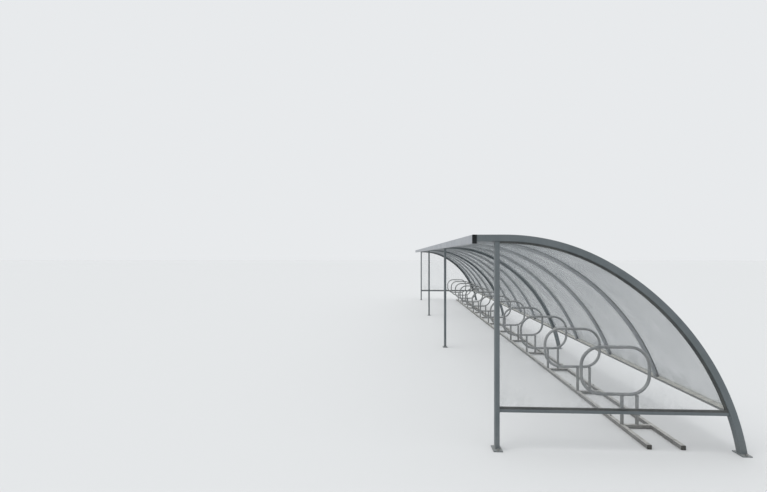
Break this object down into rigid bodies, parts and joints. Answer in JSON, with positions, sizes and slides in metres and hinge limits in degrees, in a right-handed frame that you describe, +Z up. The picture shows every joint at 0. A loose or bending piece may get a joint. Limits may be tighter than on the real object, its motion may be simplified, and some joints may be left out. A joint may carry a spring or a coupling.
{
  "type": "bike shelter",
  "caption": "Curved bike shelter, open at the front, with bent ribs, clear roof sheets, clear gable ends and a row of parking hoops.",
  "frame": {"origin": "on the ground, in the middle of the footprint", "axes": "+X from the open front to the back, +Y along the row away from the near gable, +Z up"},
  "size_m": [2.3402, 14.84, 1.89],
  "materials": {
    "frame_paint": "satin blue-grey powder coat, slightly weathered",
    "beam_paint": "satin light grey coat, dusty",
    "bar_aluminium": "matt mill finish",
    "cap_plastic": "black, matt",
    "clear_acrylic": "clear, slightly hazy, with dried droplets",
    "seal_rubber": "black, matt",
    "galvanised_steel": "hot-dip galvanised, spangled"
  },
  "bodies": {
    "root": {"main_rib_1": "frame_paint", "main_rib_2": "frame_paint", "main_rib_3": "frame_paint", "main_rib_4": "frame_paint", "front_post_1": "frame_paint", "front_post_2": "frame_paint", "front_post_3": "frame_paint", "front_post_4": "frame_paint", "post_bases": "frame_paint", "rib_bases": "frame_paint", "end_caps": "cap_plastic", "front_beams": "beam_paint", "rear_rails": "beam_paint", "gable_bars": "frame_paint", "glazing_bar_1": "bar_aluminium", "glazing_bar_2": "bar_aluminium", "glazing_bar_3": "bar_aluminium", "glazing_bar_4": "bar_aluminium", "glazing_bar_5": "bar_aluminium", "glazing_bar_6": "bar_aluminium", "glazing_bar_7": "bar_aluminium", "glazing_bar_8": "bar_aluminium", "glazing_bar_9": "bar_aluminium", "rib_ledges": "frame_paint", "cover_strips": "bar_aluminium", "roof_sheet_1": "clear_acrylic", "roof_sheet_2": "clear_acrylic", "roof_sheet_3": "clear_acrylic", "roof_sheet_4": "clear_acrylic", "roof_sheet_5": "clear_acrylic", "roof_sheet_6": "clear_acrylic", "roof_sheet_7": "clear_acrylic", "roof_sheet_8": "clear_acrylic", "roof_sheet_9": "clear_acrylic", "roof_sheet_10": "clear_acrylic", "roof_sheet_11": "clear_acrylic", "roof_sheet_12": "clear_acrylic", "near_gable_panel": "clear_acrylic", "far_gable_panel": "clear_acrylic", "gable_seals": "seal_rubber", "rack_front_rail": "galvanised_steel", "rack_rear_rail": "galvanised_steel", "rack_ties": "galvanised_steel", "hoop_legs": "galvanised_steel", "parking_hoops": "galvanised_steel"}
  },
  "joints": []
}
